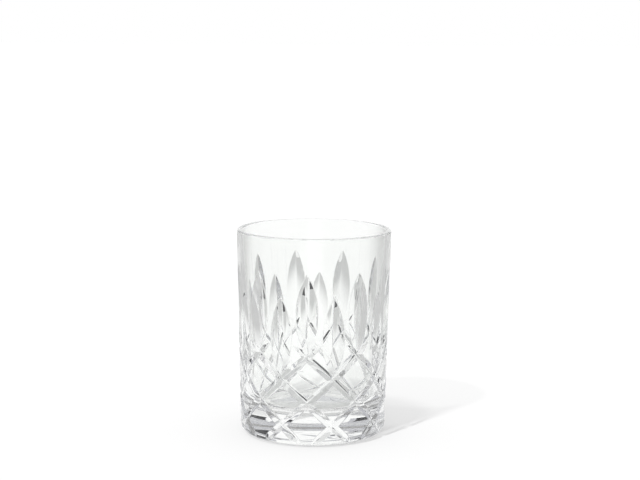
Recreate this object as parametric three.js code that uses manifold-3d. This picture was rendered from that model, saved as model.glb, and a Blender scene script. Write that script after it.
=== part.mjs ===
// A cut-crystal whisky tumbler, in millimetres, +Z up, standing on z = 0 with its axis on Z.
//
// The tumbler is one piece of glass. A blank is turned on its axis, and its outside is then
// cut the way a glass cutter works: long mitre grooves run round the lower wall both ways and
// leave a lattice of diamonds, and a broad mitre wheel sinks one upright leaf over each point
// of the lattice's zigzag top. The inside stays smooth.
import * as THREE from "three";
import { mergeVertices } from "three/addons/utils/BufferGeometryUtils.js";
import Module from "manifold-3d";

const wasm = await Module();
wasm.setup();

// Blank
const HEIGHT = 98; // foot to lip
const RIM_RADIUS = 36.6; // outside, at the lip
const FOOT_RADIUS = 34.6; // outside, where the wall meets the heel
const LIP_THICKNESS = 2.2; // the lip is a full round of this width
const WALL_THICKNESS = 5; // at the floor, before cutting
const FLOOR_THICKNESS = 13; // from the table to the floor's middle
const FLOOR_FILLET = 9; // inside, between floor and wall
const HEEL_RADIUS = 5; // outside, between wall and foot
const PUNT_RADIUS = 24; // the hollow under the foot
const PUNT_DEPTH = 1.2;

// Lattice of mitre grooves
const COLUMNS = 9; // diamonds round the wall
const TOP_CROSSING = 43; // height of the uppermost crossings
const ROW_PITCH = 11; // from one row of crossings down to the next
const GROOVE_DEPTH = 1.15;
const GROOVE_WIDTH = 3.7;
const GROOVE_RUN_UP = 5.5; // how far a groove rises past its uppermost crossing, fading out
const GROOVE_RUN_DOWN = 3.5; // over this height it fades out again on the heel
const GROOVE_END = 1.2; // height where it ends, clear of the foot
const FIRST_COLUMN = -4.5; // degrees from the front to the column in front

// Leaves
const LEAF_LENGTH = 38.5;
const LEAF_WIDTH = 10.4;
const LEAF_DEPTH = 1.75;

// Facets
const TURNS = 8 * COLUMNS; // sides of the turned blank, whole numbers of them to a column
const ARC_STEPS = 3; // steps along each rounded corner of the blank
const GROOVE_STEPS = 18;
const WHEEL_SIDES = 120;
const CUTTER_CLEARANCE = 1; // how far a cutter stands clear of the glass that it enters
const LOOK_AHEAD = 0.01; // step down a groove's line that gives its direction
const WELD = 1e-4; // corners closer than this are one corner

const HALF_COLUMN = Math.PI / COLUMNS;
const WALL_BOTTOM = HEEL_RADIUS;
const WALL_SLOPE = (RIM_RADIUS - FOOT_RADIUS) / (HEIGHT - WALL_BOTTOM);

// A closed mesh as a solid that can be cut.
function solidOf(geometry) {
  geometry.deleteAttribute("normal");
  geometry.deleteAttribute("uv");
  const merged = mergeVertices(geometry, WELD);
  return new wasm.Manifold(
    new wasm.Mesh({
      numProp: 3,
      vertProperties: merged.attributes.position.array,
      triVerts: new Uint32Array(merged.index.array),
    }),
  );
}

function geometryOf(solid) {
  const mesh = solid.getMesh();
  const geometry = new THREE.BufferGeometry();
  geometry.setAttribute("position", new THREE.BufferAttribute(mesh.vertProperties, mesh.numProp));
  geometry.setIndex(new THREE.BufferAttribute(mesh.triVerts, 1));
  geometry.computeVertexNormals();
  return geometry;
}

// Radius of the circle whose chord is twice half long and lies depth below its top.
function chordRadius(half, depth) {
  return (half * half + depth * depth) / (2 * depth);
}

// Outside of the blank at a height: its radius, and its outward normal's slope in the radial plane.
function outside(z) {
  if (z >= WALL_BOTTOM) {
    const slope = Math.atan(WALL_SLOPE);
    return {
      radius: FOOT_RADIUS + WALL_SLOPE * (z - WALL_BOTTOM),
      out: Math.cos(slope),
      up: -Math.sin(slope),
    };
  }
  const up = (z - HEEL_RADIUS) / HEEL_RADIUS;
  const out = Math.sqrt(1 - up * up);
  return { radius: FOOT_RADIUS - HEEL_RADIUS * (1 - out), out, up };
}

// The turned blank: from the middle of the punt out to the foot, up the wall, over the lip
// and down the inside to the middle of the floor.
function turnedBlank() {
  const lip = LIP_THICKNESS / 2;
  const floorWall = FOOT_RADIUS - WALL_THICKNESS;
  const filletTop = FLOOR_THICKNESS + FLOOR_FILLET;
  const puntArc = chordRadius(PUNT_RADIUS, PUNT_DEPTH);
  const profile = new THREE.Path();
  profile.absarc(0, PUNT_DEPTH - puntArc, puntArc, Math.PI / 2, Math.acos(PUNT_RADIUS / puntArc), true);
  profile.lineTo(FOOT_RADIUS - HEEL_RADIUS, 0);
  profile.absarc(FOOT_RADIUS - HEEL_RADIUS, HEEL_RADIUS, HEEL_RADIUS, -Math.PI / 2, 0);
  profile.lineTo(RIM_RADIUS, HEIGHT - lip);
  profile.absarc(RIM_RADIUS - lip, HEIGHT - lip, lip, 0, Math.PI);
  profile.lineTo(floorWall, filletTop);
  profile.absarc(floorWall - FLOOR_FILLET, filletTop, FLOOR_FILLET, 0, -Math.PI / 2, true);
  profile.lineTo(0, FLOOR_THICKNESS);
  const blank = new THREE.LatheGeometry(profile.getPoints(ARC_STEPS), TURNS);
  blank.rotateX(Math.PI / 2);
  return solidOf(blank);
}

// A solid through a row of triangular sections, closed at both ends.
function loft(sections) {
  const corners = sections[0].length;
  const points = sections.flat();
  const faces = [];
  for (let i = 0; i + 1 < sections.length; i++) {
    for (let j = 0; j < corners; j++) {
      const a = i * corners + j;
      const b = i * corners + ((j + 1) % corners);
      faces.push(a, b, a + corners, b, b + corners, a + corners);
    }
  }
  const last = points.length - corners;
  for (let j = 1; j + 1 < corners; j++) {
    faces.push(0, j + 1, j, last, last + j, last + j + 1);
  }
  const geometry = new THREE.BufferGeometry().setFromPoints(points);
  geometry.setIndex(faces);
  return geometry;
}

// How deep a groove is at a height: full along the wall, fading at both ends as a wheel lifts out.
function grooveDepth(z) {
  const above = (TOP_CROSSING + GROOVE_RUN_UP - z) / GROOVE_RUN_UP;
  const below = (z - GROOVE_END) / GROOVE_RUN_DOWN;
  const share = Math.min(1, above, below);
  return GROOVE_DEPTH * (1 - (1 - share) * (1 - share));
}

// A point of a groove's line on the blank's outside. It passes a crossing every half column.
function grooveLine(z, hand) {
  const angle = (hand * HALF_COLUMN * (TOP_CROSSING - z)) / ROW_PITCH;
  const { radius, out, up } = outside(z);
  return {
    point: new THREE.Vector3(radius * Math.cos(angle), radius * Math.sin(angle), z),
    normal: new THREE.Vector3(out * Math.cos(angle), out * Math.sin(angle), up),
  };
}

// The V that a groove is cut with, swept down the wall. hand is 1 or -1 for the way it leans.
function grooveCutter(hand) {
  const flare = GROOVE_WIDTH / 2 / GROOVE_DEPTH;
  const start = TOP_CROSSING + GROOVE_RUN_UP;
  const sections = [];
  for (let i = 0; i <= GROOVE_STEPS; i++) {
    const z = THREE.MathUtils.lerp(start, GROOVE_END, i / GROOVE_STEPS);
    const { point, normal } = grooveLine(z, hand);
    const along = grooveLine(z - LOOK_AHEAD, hand).point.sub(point).normalize();
    const across = new THREE.Vector3().crossVectors(normal, along).normalize();
    const depth = grooveDepth(z);
    const top = point.clone().addScaledVector(normal, CUTTER_CLEARANCE);
    const half = (depth + CUTTER_CLEARANCE) * flare;
    sections.push([
      point.clone().addScaledVector(normal, -depth),
      top.clone().addScaledVector(across, half),
      top.clone().addScaledVector(across, -half),
    ]);
  }
  return solidOf(loft(sections));
}

// The mitre wheel that sinks a leaf: a disc with a V edge, standing upright on a radius of the glass.
// Its size follows from the leaf: a wheel cuts a chord as long as the leaf at the leaf's depth.
function leafCutter(bottom) {
  const half = LEAF_LENGTH / 2;
  const radius = chordRadius(half, LEAF_DEPTH);
  const { radius: wall, out, up } = outside(bottom + half);
  const side = LEAF_WIDTH / 2;
  const roundness = side * side / (2 * wall); // how far the wall falls away at the leaf's edge
  const flare = side / (LEAF_DEPTH - roundness);
  const edge = LEAF_DEPTH + CUTTER_CLEARANCE;
  const profile = [
    new THREE.Vector2(0, -edge * flare),
    new THREE.Vector2(radius - edge, -edge * flare),
    new THREE.Vector2(radius, 0),
    new THREE.Vector2(radius - edge, edge * flare),
    new THREE.Vector2(0, edge * flare),
  ];
  const wheel = new THREE.LatheGeometry(profile, WHEEL_SIDES);
  const away = radius - LEAF_DEPTH;
  wheel.translate(wall + out * away, 0, bottom + half + up * away);
  return solidOf(wheel);
}

function tumbler() {
  const grooves = [grooveCutter(1), grooveCutter(-1)];
  const leaves = [leafCutter(TOP_CROSSING), leafCutter(TOP_CROSSING - ROW_PITCH)];
  let glass = turnedBlank();
  for (let column = 0; column < COLUMNS; column++) {
    const turn = FIRST_COLUMN - 90 + (360 / COLUMNS) * column;
    const halfTurn = 180 / COLUMNS;
    for (const groove of grooves) {
      glass = glass.subtract(groove.rotate([0, 0, turn]));
    }
    leaves.forEach((leaf, row) => {
      glass = glass.subtract(leaf.rotate([0, 0, turn + row * halfTurn]));
    });
  }
  const crystal = new THREE.MeshStandardMaterial({
    color: 0xeef3f4,
    roughness: 0.03,
    metalness: 0,
    transparent: true,
    opacity: 0.35,
  });
  const mesh = new THREE.Mesh(geometryOf(glass), crystal);
  mesh.name = "tumbler";
  return mesh;
}

const whiskyGlass = new THREE.Group();
whiskyGlass.add(tumbler());

export default whiskyGlass;
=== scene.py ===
# %% [markdown]
# # A cut-crystal whisky tumbler
# The glass is a single piece: a thick blank turned on its axis, with a lattice of mitre grooves round
# its lower half and upright leaves above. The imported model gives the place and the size. This script
# rebuilds that glass with a much finer surface, because clear glass shows every facet twice, once
# on the near wall and once, bent, through it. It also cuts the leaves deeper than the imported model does.

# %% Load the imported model
import math

import bpy
from mathutils import Matrix, Vector


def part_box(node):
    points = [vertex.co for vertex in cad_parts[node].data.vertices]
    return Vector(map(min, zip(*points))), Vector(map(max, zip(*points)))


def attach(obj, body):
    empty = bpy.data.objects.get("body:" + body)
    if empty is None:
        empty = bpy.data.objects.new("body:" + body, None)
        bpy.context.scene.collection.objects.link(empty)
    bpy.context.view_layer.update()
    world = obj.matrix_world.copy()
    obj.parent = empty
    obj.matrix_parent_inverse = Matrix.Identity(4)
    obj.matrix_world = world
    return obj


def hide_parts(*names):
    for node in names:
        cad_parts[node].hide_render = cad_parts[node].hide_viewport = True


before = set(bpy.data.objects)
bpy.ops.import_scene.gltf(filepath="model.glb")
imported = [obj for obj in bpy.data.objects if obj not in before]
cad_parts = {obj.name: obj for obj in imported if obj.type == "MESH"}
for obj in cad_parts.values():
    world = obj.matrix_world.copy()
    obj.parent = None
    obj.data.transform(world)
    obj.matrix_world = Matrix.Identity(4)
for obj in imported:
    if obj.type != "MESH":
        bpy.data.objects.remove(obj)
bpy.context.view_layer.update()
MM = 0.001
glass_low, glass_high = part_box("tumbler")

# %% [markdown]
# ## Sizes
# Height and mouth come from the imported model's box. The rest are the sizes a glassmaker's drawing of the
# blank and its cuts would give, in millimetres. LEAF_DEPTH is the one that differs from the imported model,
# where the leaves are 1.75 mm deep.

# %% Sizes of the blank and of its cuts
HEIGHT = (glass_high[2] - glass_low[2]) / MM
RIM_RADIUS = (glass_high[0] - glass_low[0]) / MM / 2
FOOT_RADIUS = 34.6
LIP_THICKNESS = 2.2
WALL_THICKNESS = 5
FLOOR_THICKNESS = 13
FLOOR_FILLET = 9
HEEL_RADIUS = 5
PUNT_RADIUS = 24
PUNT_DEPTH = 1.2

COLUMNS = 9
FIRST_COLUMN = math.radians(-4.5)
TOP_CROSSING = 43
ROW_PITCH = 11
GROOVE_DEPTH = 1.15
GROOVE_WIDTH = 3.7
GROOVE_RUN_UP = 5.5
GROOVE_RUN_DOWN = 3.5
GROOVE_END = 1.2
LEAF_LENGTH = 38.5
LEAF_WIDTH = 10.4
LEAF_DEPTH = 2.55
print(f"glass {HEIGHT:.1f} mm tall, mouth {2 * RIM_RADIUS:.1f} mm across")

# %% [markdown]
# ## The turned blank
# A blank is round, so one half outline turned about the axis makes it. The outline runs from the middle
# of the hollow under the foot, round the heel, up the wall, over the melted lip and down inside.

# %% Outline of the blank
SIDES = 40 * COLUMNS
ARC_STEPS = 20
ON_AXIS = 1e-6


def arc(across, height, radius, start, end):
    """Points on an arc, as (distance from the axis, height)."""
    angles = [start + (end - start) * i / ARC_STEPS for i in range(ARC_STEPS + 1)]
    return [(across + radius * math.cos(a), height + radius * math.sin(a)) for a in angles]


def chord_radius(half, depth):
    """Radius of the circle whose chord is twice half long and lies depth below its top."""
    return (half * half + depth * depth) / (2 * depth)


def blank_outline():
    lip = LIP_THICKNESS / 2
    up = math.pi / 2
    punt = chord_radius(PUNT_RADIUS, PUNT_DEPTH)
    fillet_axis = FOOT_RADIUS - WALL_THICKNESS - FLOOR_FILLET
    points = arc(0, PUNT_DEPTH - punt, punt, up, math.acos(PUNT_RADIUS / punt))
    points += arc(FOOT_RADIUS - HEEL_RADIUS, HEEL_RADIUS, HEEL_RADIUS, -up, 0)
    points += arc(RIM_RADIUS - lip, HEIGHT - lip, lip, 0, math.pi)
    points += arc(fillet_axis, FLOOR_THICKNESS + FLOOR_FILLET, FLOOR_FILLET, 0, -up)
    points.append((0, FLOOR_THICKNESS))
    return points


def turn(outline, sides):
    """Corners and faces of a closed outline turned about its axis; its ends lie on the axis."""
    corners, rings = [], []
    for across, height in outline:
        if across < ON_AXIS:
            rings.append([len(corners)] * sides)
            corners.append(Vector((0, 0, height)))
            continue
        rings.append(list(range(len(corners), len(corners) + sides)))
        for i in range(sides):
            angle = 2 * math.pi * i / sides
            corners.append(Vector((across * math.cos(angle), across * math.sin(angle), height)))
    faces = []
    for low, high in zip(rings, rings[1:]):
        for i in range(sides):
            j = (i + 1) % sides
            face = [low[i], low[j], high[j], high[i]]
            faces.append(list(dict.fromkeys(face)))
    return corners, faces


def new_object(name, corners, faces):
    """A mesh object from corners in millimetres."""
    mesh = bpy.data.meshes.new(name)
    mesh.from_pydata([corner * MM for corner in corners], [], faces)
    mesh.validate()
    piece = bpy.data.objects.new(name, mesh)
    bpy.context.scene.collection.objects.link(piece)
    return piece


blank = new_object("tumbler_glass", *turn(blank_outline(), SIDES))
print("blank:", len(blank.data.polygons), "faces")

# %% [markdown]
# ## The cuts
# A cutter holds the blank against a wheel with a V edge. Run along a slanting line it leaves a mitre
# groove, and sunk in straight it leaves a pointed leaf with a crease down its middle. A flame then melts
# the edges round again, and these soft edges draw the thin light and dark lines along every cut, so each
# cut is swept from a V with rounded corners and taken away from the blank.

# %% The wall that the wheels meet
def outside(height):
    """The blank's radius at a height, and its outward normal as (out, up)."""
    slope = (RIM_RADIUS - FOOT_RADIUS) / (HEIGHT - HEEL_RADIUS)
    if height >= HEEL_RADIUS:
        lean = math.atan(slope)
        return FOOT_RADIUS + slope * (height - HEEL_RADIUS), math.cos(lean), -math.sin(lean)
    up = (height - HEEL_RADIUS) / HEEL_RADIUS
    out = math.sqrt(1 - up * up)
    return FOOT_RADIUS - HEEL_RADIUS * (1 - out), out, up


def below_wall(angle, height, depth):
    """The place at a depth under the wall, square to it."""
    radius, out, up = outside(height)
    across = radius - out * depth
    return Vector((across * math.cos(angle), across * math.sin(angle), height - up * depth))


# %% A V with rounded corners
EDGE_ROUND = 0.15
CREASE_ROUND = 0.12
FLANK_STEPS = 3
EDGE_STEPS = 6
CLEARANCE = 1.0
SKIM = 0.001
FIRST_FLANK_STEP = 0.3


def rounded_vee(depth, flare, wall_radius):
    """(offset, depth) of points across a V cut. Its flat flanks meet a round wall in a soft edge."""

    def reach(level):
        """How far from the middle a sharp flank comes to a level."""
        steepness = 1 / flare
        room = max(0, depth - level)
        return wall_radius * (math.sqrt(steepness * steepness + 2 * room / wall_radius) - steepness)

    def softened(offset):
        sharp = depth - math.hypot(offset, CREASE_ROUND) / flare - offset * offset / (2 * wall_radius)
        soft = max(0, min(sharp, EDGE_ROUND) + EDGE_ROUND) ** 2 / (4 * EDGE_ROUND)
        return max(sharp, soft) - SKIM

    inner, outer = reach(EDGE_ROUND), reach(-EDGE_ROUND)
    shares = [i / FLANK_STEPS for i in range(FLANK_STEPS)]
    offsets = [inner * share * min(1, FIRST_FLANK_STEP + (1 - FIRST_FLANK_STEP) * share) for share in shares]
    offsets += [inner + (outer - inner) * i / EDGE_STEPS for i in range(EDGE_STEPS + 1)]
    half = [(offset, softened(offset)) for offset in offsets]
    return [(-offset, deep) for offset, deep in reversed(half[1:])] + half


def sweep(sections):
    """Corners and faces of a solid through rings of the same number of corners."""
    corners = [corner for ring in sections for corner in ring]
    count = len(sections[0])
    faces = []
    for i in range(1, len(sections)):
        now, last = i * count, (i - 1) * count
        for j in range(count):
            k = (j + 1) % count
            faces.append([last + j, last + k, now + k, now + j])
    faces.append(list(reversed(range(count))))
    faces.append(list(range(len(corners) - count, len(corners))))
    return corners, faces


def turned_copies(corners, faces, offset):
    """The same cutter at every column, as one mesh."""
    all_corners, all_faces = [], []
    for column in range(COLUMNS):
        angle = FIRST_COLUMN - math.pi / 2 + offset + 2 * math.pi * column / COLUMNS
        spin = Matrix.Rotation(angle, 3, "Z")
        start = len(all_corners)
        all_corners += [spin @ corner for corner in corners]
        all_faces += [[start + i for i in face] for face in faces]
    return all_corners, all_faces


# %% [markdown]
# ## Mitre grooves
# On the real glass these are long V cuts that run down the wall slantwise, both ways, and leave diamonds
# between them. One V section is swept along one line and turned to every column. The cut fades out at
# both ends, as a wheel leaves the glass.

# %% Mitre grooves
GROOVE_STEPS = 80


def groove_depth(height):
    """How deep a groove is at a height: full in between, fading out at both ends."""
    above = (TOP_CROSSING + GROOVE_RUN_UP - height) / GROOVE_RUN_UP
    below = (height - GROOVE_END) / GROOVE_RUN_DOWN
    share = min(1, above, below)
    return GROOVE_DEPTH * (1 - (1 - share) ** 2)


def groove_cutter(hand):
    turn_per_mm = hand * math.pi / COLUMNS / ROW_PITCH
    slant = turn_per_mm * FOOT_RADIUS
    stretch = math.hypot(1, slant)
    flare = GROOVE_WIDTH / 2 / GROOVE_DEPTH
    start = TOP_CROSSING + GROOVE_RUN_UP
    sections = []
    for i in range(GROOVE_STEPS + 1):
        height = start + (GROOVE_END - start) * i / GROOVE_STEPS
        radius = outside(height)[0]
        middle = turn_per_mm * (TOP_CROSSING - height)
        cut = rounded_vee(groove_depth(height), flare, radius * stretch * stretch)
        cut += [(cut[-1][0], -CLEARANCE), (cut[0][0], -CLEARANCE)]
        sections.append([
            below_wall(middle + across / stretch / radius, height + across * slant / stretch, deep)
            for across, deep in cut
        ])
    return sweep(sections)


grooves = [
    new_object(f"grooves_{name}", *turned_copies(*groove_cutter(hand), 0))
    for name, hand in (("right", 1), ("left", -1))
]
print("groove cutters:", [len(cutter.data.polygons) for cutter in grooves])

# %% [markdown]
# ## Leaves
# A leaf is where a broad V wheel was sunk straight in, so its length follows from the wheel's radius and
# its outline is pointed at both ends. The same V section is swept up the wall, as deep at each height as
# the round wheel would go.

# %% Leaves
LEAF_STEPS = 64


def leaf_cutter(bottom):
    half = LEAF_LENGTH / 2
    wheel = chord_radius(half, LEAF_DEPTH)
    radius = outside(bottom + half)[0]
    side = LEAF_WIDTH / 2
    flare = side / (LEAF_DEPTH - side * side / (2 * radius))
    reach = math.sqrt(2 * wheel * (LEAF_DEPTH + EDGE_ROUND))
    sections = []
    for i in range(LEAF_STEPS + 1):
        along = reach * (1 - 2 * i / LEAF_STEPS)
        depth = LEAF_DEPTH - wheel + math.sqrt(wheel * wheel - along * along)
        cut = rounded_vee(depth, flare, radius)
        cut += [(cut[-1][0], -CLEARANCE), (cut[0][0], -CLEARANCE)]
        sections.append([below_wall(across / radius, bottom + half + along, deep) for across, deep in cut])
    return sweep(sections)


leaves = [
    new_object("leaves_tall", *turned_copies(*leaf_cutter(TOP_CROSSING), 0)),
    new_object("leaves_short", *turned_copies(*leaf_cutter(TOP_CROSSING - ROW_PITCH), math.pi / COLUMNS)),
]
print("leaf cutters:", [len(cutter.data.polygons) for cutter in leaves])

# %% [markdown]
# ## Cutting
# All the cutters come off the blank in one go. What is left keeps its hard creases, and the other edges are
# shaded smoothly, weighted by face size, so that the broad faces stay true.

# %% Cutting the blank
CREASE = math.radians(15)
LARGE_FACES_LEAD = 100


def cut(piece, cutters):
    """Takes the cutters away from the piece for good, and removes them."""
    for cutter in cutters:
        modifier = piece.modifiers.new(cutter.name, "BOOLEAN")
        modifier.operation = "DIFFERENCE"
        modifier.solver = "MANIFOLD"
        modifier.object = cutter
    graph = bpy.context.evaluated_depsgraph_get()
    mesh = bpy.data.meshes.new_from_object(piece.evaluated_get(graph))
    piece.modifiers.clear()
    piece.data = mesh
    for cutter in cutters:
        bpy.data.objects.remove(cutter)


cut(blank, grooves + leaves)
blank.data.shade_smooth()
blank.data.set_sharp_from_angle(angle=CREASE)
weighted = blank.modifiers.new("soft_edges", "WEIGHTED_NORMAL")
weighted.keep_sharp = True
weighted.weight = LARGE_FACES_LEAD
print("cut glass:", len(blank.data.polygons), "faces")

# %% [markdown]
# ## Crystal
# Lead-free crystal bends light a little more than window glass. It is clear, and polished in a flame, so
# it has no roughness that shows and its edges sparkle. Light focused by the cuts is too costly to follow
# here, so shadow rays pass straight through instead, dimmed more by the cut part than by the plain wall.

# %% Helpers for materials
def linear(code):
    """A hex colour, as seen on a screen, in linear light."""
    channels = [int(code[i : i + 2], 16) / 255 for i in (1, 3, 5)]
    return (*[c / 12.92 if c <= 0.04045 else ((c + 0.055) / 1.055) ** 2.4 for c in channels], 1)


def add_node(tree, kind, settings=None, **links):
    """Adds a node. settings set its properties or inputs by name, links join inputs to outputs."""
    node = tree.nodes.new(kind)
    for name, value in (settings or {}).items():
        if isinstance(name, str) and hasattr(node, name):
            setattr(node, name, value)
        else:
            node.inputs[name].default_value = value
    for name, source in links.items():
        tree.links.new(source, node.inputs[name.replace("_", " ")])
    return node


# %% Crystal glass
CRYSTAL_IOR = 1.53
CRYSTAL_COLOUR = "#fefffe"
WALL_SHADOW = 0.945
CUT_SHADOW = 0.86
SHADOW_BLEND = (TOP_CROSSING - 4, TOP_CROSSING + 8)


def crystal():
    material = bpy.data.materials.new("fire_polished_crystal")
    material.use_nodes = True
    tree = material.node_tree
    tree.nodes.clear()
    polish = {
        "Base Color": linear(CRYSTAL_COLOUR),
        "Roughness": 0.0,
        "IOR": CRYSTAL_IOR,
        "Transmission Weight": 1.0,
    }
    glass = add_node(tree, "ShaderNodeBsdfPrincipled", polish)
    place = add_node(tree, "ShaderNodeTexCoord")
    height = add_node(tree, "ShaderNodeSeparateXYZ", Vector=place.outputs["Object"])
    low, high = (height_mm * MM for height_mm in SHADOW_BLEND)
    light = {"From Min": low, "From Max": high, "To Min": CUT_SHADOW, "To Max": WALL_SHADOW}
    passed = add_node(tree, "ShaderNodeMapRange", light, Value=height.outputs["Z"])
    clear = add_node(tree, "ShaderNodeBsdfTransparent", Color=passed.outputs[0])
    path = add_node(tree, "ShaderNodeLightPath")
    mix = add_node(tree, "ShaderNodeMixShader", Fac=path.outputs["Is Shadow Ray"])
    tree.links.new(glass.outputs[0], mix.inputs[1])
    tree.links.new(clear.outputs[0], mix.inputs[2])
    add_node(tree, "ShaderNodeOutputMaterial", Surface=mix.outputs[0])
    return material


blank.data.materials.clear()
blank.data.materials.append(crystal())
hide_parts("tumbler")
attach(blank, "root")
print("finish:", blank.data.materials[0].name)

# %% [markdown]
# ## Camera
# The picture was taken from the front, a little above the lip. A long lens keeps the wall's sides almost
# upright, so the camera stands 0.8 m away and looks down by about eight degrees.

# %% Camera
PICTURE_WIDTH = 640
FOCAL_PIXELS = 1702.8
LOOK_DOWN = math.radians(8.29)
ROLL = math.radians(0.46)
CAMERA_PLACE = (2.83, -800, 209)

scene = bpy.context.scene
camera_data = bpy.data.cameras.new("camera")
camera_data.lens = FOCAL_PIXELS * camera_data.sensor_width / PICTURE_WIDTH
camera = bpy.data.objects.new("camera", camera_data)
camera.location = Vector(CAMERA_PLACE) * MM
aim = Matrix.Rotation(math.pi / 2 - LOOK_DOWN, 3, "X") @ Matrix.Rotation(ROLL, 3, "Z")
camera.rotation_euler = aim.to_euler()
scene.collection.objects.link(camera)
scene.camera = camera
print(f"lens {camera_data.lens:.1f} mm, looking down {math.degrees(LOOK_DOWN):.1f} degrees")

# %% [markdown]
# ## Studio
# Clear glass has no colour of its own: its cuts are drawn by whatever stands round it. A photographer sets
# the glass on white paper in front of a white backdrop, lets the light fall off to both sides, and stands
# two black flags behind, whose small images make dark accents in the cuts. The same things are built here
# as stage pieces, but the fall-off of light on the paper is painted shade in the paper's own material. Only
# the glass sees the walls, the flags, the backdrop and that painted shade: to the camera the paper is white
# all over, apart from the shadow.

# %% How light is followed
BOUNCES = 32
scene.view_settings.view_transform = "Standard"
scene.cycles.caustics_reflective = False
scene.cycles.caustics_refractive = False
scene.cycles.max_bounces = BOUNCES
scene.cycles.transmission_bounces = BOUNCES
scene.cycles.glossy_bounces = BOUNCES
scene.cycles.transparent_max_bounces = BOUNCES
print("bounces:", BOUNCES)

# %% White paper
PAPER_HALF = 6000
PAPER_COLOUR = "#e7e7e7"
PAPER_GLOW = 0.24
# The painted pool of light on the paper: where its middle lies, how far it stays full, how fast it fades, and
# the painted shade at the sides.
PAINTED_POOL_MIDDLE = -15
PAINTED_POOL_HALF = 70
PAINTED_POOL_FADE = 90
PAINTED_POOL_SHADE = 0.58


def paper():
    """Matt paper with a painted pool of light: for the rays that come by way of the glass, its shading is
    painted darker towards the sides.
    """
    material = bpy.data.materials.new("matt_white_paper_painted_pool")
    material.use_nodes = True
    tree = material.node_tree
    tree.nodes.clear()
    fibres = add_node(tree, "ShaderNodeBsdfDiffuse", {"Color": linear(PAPER_COLOUR)})
    glow = add_node(tree, "ShaderNodeEmission", {"Strength": PAPER_GLOW})
    lit = add_node(tree, "ShaderNodeAddShader")
    tree.links.new(fibres.outputs[0], lit.inputs[0])
    tree.links.new(glow.outputs[0], lit.inputs[1])
    place = add_node(tree, "ShaderNodeTexCoord")
    across = add_node(tree, "ShaderNodeSeparateXYZ", Vector=place.outputs["Object"])
    offset = add_node(tree, "ShaderNodeMath", {"operation": "SUBTRACT", 1: PAINTED_POOL_MIDDLE * MM})
    tree.links.new(across.outputs["X"], offset.inputs[0])
    aside = add_node(tree, "ShaderNodeMath", {"operation": "ABSOLUTE"})
    tree.links.new(offset.outputs[0], aside.inputs[0])
    # Painted shade: away from the pool's middle the paper's shading is painted darker, down to the side
    # shade.
    painted_pool = {
        "interpolation_type": "SMOOTHSTEP",
        "From Min": PAINTED_POOL_HALF * MM,
        "From Max": (PAINTED_POOL_HALF + PAINTED_POOL_FADE) * MM,
        "To Min": 1.0,
        "To Max": PAINTED_POOL_SHADE,
    }
    painted_falloff = add_node(tree, "ShaderNodeMapRange", painted_pool, Value=aside.outputs[0])
    path = add_node(tree, "ShaderNodeLightPath")
    # The camera always sees the paper without the painted shade; only rays by way of the glass see it.
    share = add_node(tree, "ShaderNodeMath", {"operation": "MAXIMUM"})
    tree.links.new(painted_falloff.outputs[0], share.inputs[0])
    tree.links.new(path.outputs["Is Camera Ray"], share.inputs[1])
    mix = add_node(tree, "ShaderNodeMixShader", Fac=share.outputs[0])
    tree.links.new(lit.outputs[0], mix.inputs[2])
    add_node(tree, "ShaderNodeOutputMaterial", Surface=mix.outputs[0])
    return material


def stage_sheet(name, corners, material):
    """A flat stage piece from four corners in millimetres."""
    sheet = new_object(name, [Vector(corner) for corner in corners], [[0, 1, 2, 3]])
    sheet.data.materials.append(material)
    return sheet


square = ((-1, -1), (1, -1), (1, 1), (-1, 1))
floor = stage_sheet("paper", [(x * PAPER_HALF, y * PAPER_HALF, 0) for x, y in square], paper())
print("paper:", floor.name)

# %% Walls, backdrop and flags
ROOM_HALF = 2500
ROOM_HEIGHT = 2400
ROOM_TONE = "#bebec3"
BACKDROP_DISTANCE = 1100
BACKDROP_HALF = 420
BACKDROP_HEIGHT = 900
BACKDROP_TONE = "#ffffff"
FLAG_DISTANCE = 700
FLAG_INNER = 330
FLAG_OUTER = 840
FLAG_HEIGHT = 330
FLAG_TONE = "#1c1c20"


def glowing(name, tone):
    """A card that shows one tone, whatever light falls on it."""
    material = bpy.data.materials.new(name)
    material.use_nodes = True
    tree = material.node_tree
    tree.nodes.clear()
    glow = add_node(tree, "ShaderNodeEmission", {"Color": linear(tone)})
    add_node(tree, "ShaderNodeOutputMaterial", Surface=glow.outputs[0])
    return material


def seen_in_glass_only(sheet):
    sheet.visible_camera = False
    sheet.visible_diffuse = False
    sheet.visible_shadow = False


def upright(name, left, right, distance, height, material):
    """A card that stands across the view."""
    corners = [(left, distance, 0), (right, distance, 0), (right, distance, height), (left, distance, height)]
    seen_in_glass_only(stage_sheet(name, corners, material))


def room(material):
    """Four walls and a ceiling."""
    ring = [(x * ROOM_HALF, y * ROOM_HALF) for x, y in square]
    corners = [Vector((x, y, z)) for z in (0, ROOM_HEIGHT) for x, y in ring]
    walls = [[i, (i + 1) % 4, (i + 1) % 4 + 4, i + 4] for i in range(4)]
    shell = new_object("room", corners, walls + [[4, 5, 6, 7]])
    shell.data.materials.append(material)
    seen_in_glass_only(shell)


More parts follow.
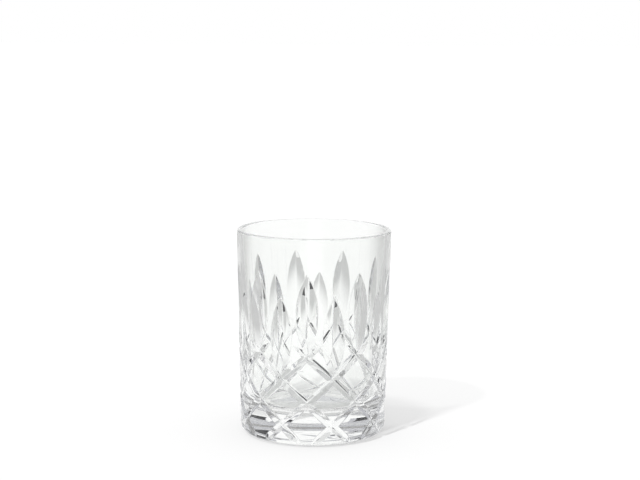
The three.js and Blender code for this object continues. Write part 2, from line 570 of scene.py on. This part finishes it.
room(glowing("painted_wall", ROOM_TONE))
white_card = glowing("white_card", BACKDROP_TONE)
upright("backdrop", -BACKDROP_HALF, BACKDROP_HALF, BACKDROP_DISTANCE, BACKDROP_HEIGHT, white_card)
black_card = glowing("black_card", FLAG_TONE)
upright("flag_left", -FLAG_OUTER, -FLAG_INNER, FLAG_DISTANCE, FLAG_HEIGHT, black_card)
upright("flag_right", FLAG_INNER, FLAG_OUTER, FLAG_DISTANCE, FLAG_HEIGHT, black_card)
print("room", 2 * ROOM_HALF, "mm wide, backdrop", BACKDROP_DISTANCE, "mm behind, flags", FLAG_DISTANCE, "mm")

# %% [markdown]
# ## Light
# One distant lamp shines from the front left, 45 degrees up, and throws the glass's shadow to the back
# right. The world fills the shadow. The camera sees it as plain white, and so would the glass, if the
# room's walls did not stand in front of it.

# %% Key light and fill
KEY_STRENGTH = 3.05
KEY_SOFTNESS = math.radians(2.5)
KEY_AZIMUTH = math.radians(34.4)
KEY_ELEVATION = math.radians(45)
FILL_STRENGTH = 0.31
SKY_COLOUR = "#ffffff"

level = math.cos(KEY_ELEVATION)
to_key = Vector((-math.sin(KEY_AZIMUTH) * level, -math.cos(KEY_AZIMUTH) * level, math.sin(KEY_ELEVATION)))
key_data = bpy.data.lights.new("key", "SUN")
key_data.energy = KEY_STRENGTH
key_data.angle = KEY_SOFTNESS
key = bpy.data.objects.new("key", key_data)
key.rotation_euler = to_key.to_track_quat("Z", "Y").to_euler()
scene.collection.objects.link(key)


def studio_world():
    world = bpy.data.worlds.new("studio")
    world.use_nodes = True
    tree = world.node_tree
    tree.nodes.clear()
    path = add_node(tree, "ShaderNodeLightPath")
    seen = path.outputs["Is Camera Ray"]
    for kind in ("Is Glossy Ray", "Is Transmission Ray"):
        either = add_node(tree, "ShaderNodeMath", {"operation": "MAXIMUM"})
        tree.links.new(seen, either.inputs[0])
        tree.links.new(path.outputs[kind], either.inputs[1])
        seen = either.outputs[0]
    strength = add_node(tree, "ShaderNodeMapRange", {"To Min": FILL_STRENGTH, "To Max": 1.0}, Value=seen)
    sky = add_node(tree, "ShaderNodeBackground", {"Color": linear(SKY_COLOUR)}, Strength=strength.outputs[0])
    add_node(tree, "ShaderNodeOutputWorld", Surface=sky.outputs[0])
    return world


scene.world = studio_world()
print("key light", KEY_STRENGTH, "and fill", FILL_STRENGTH)
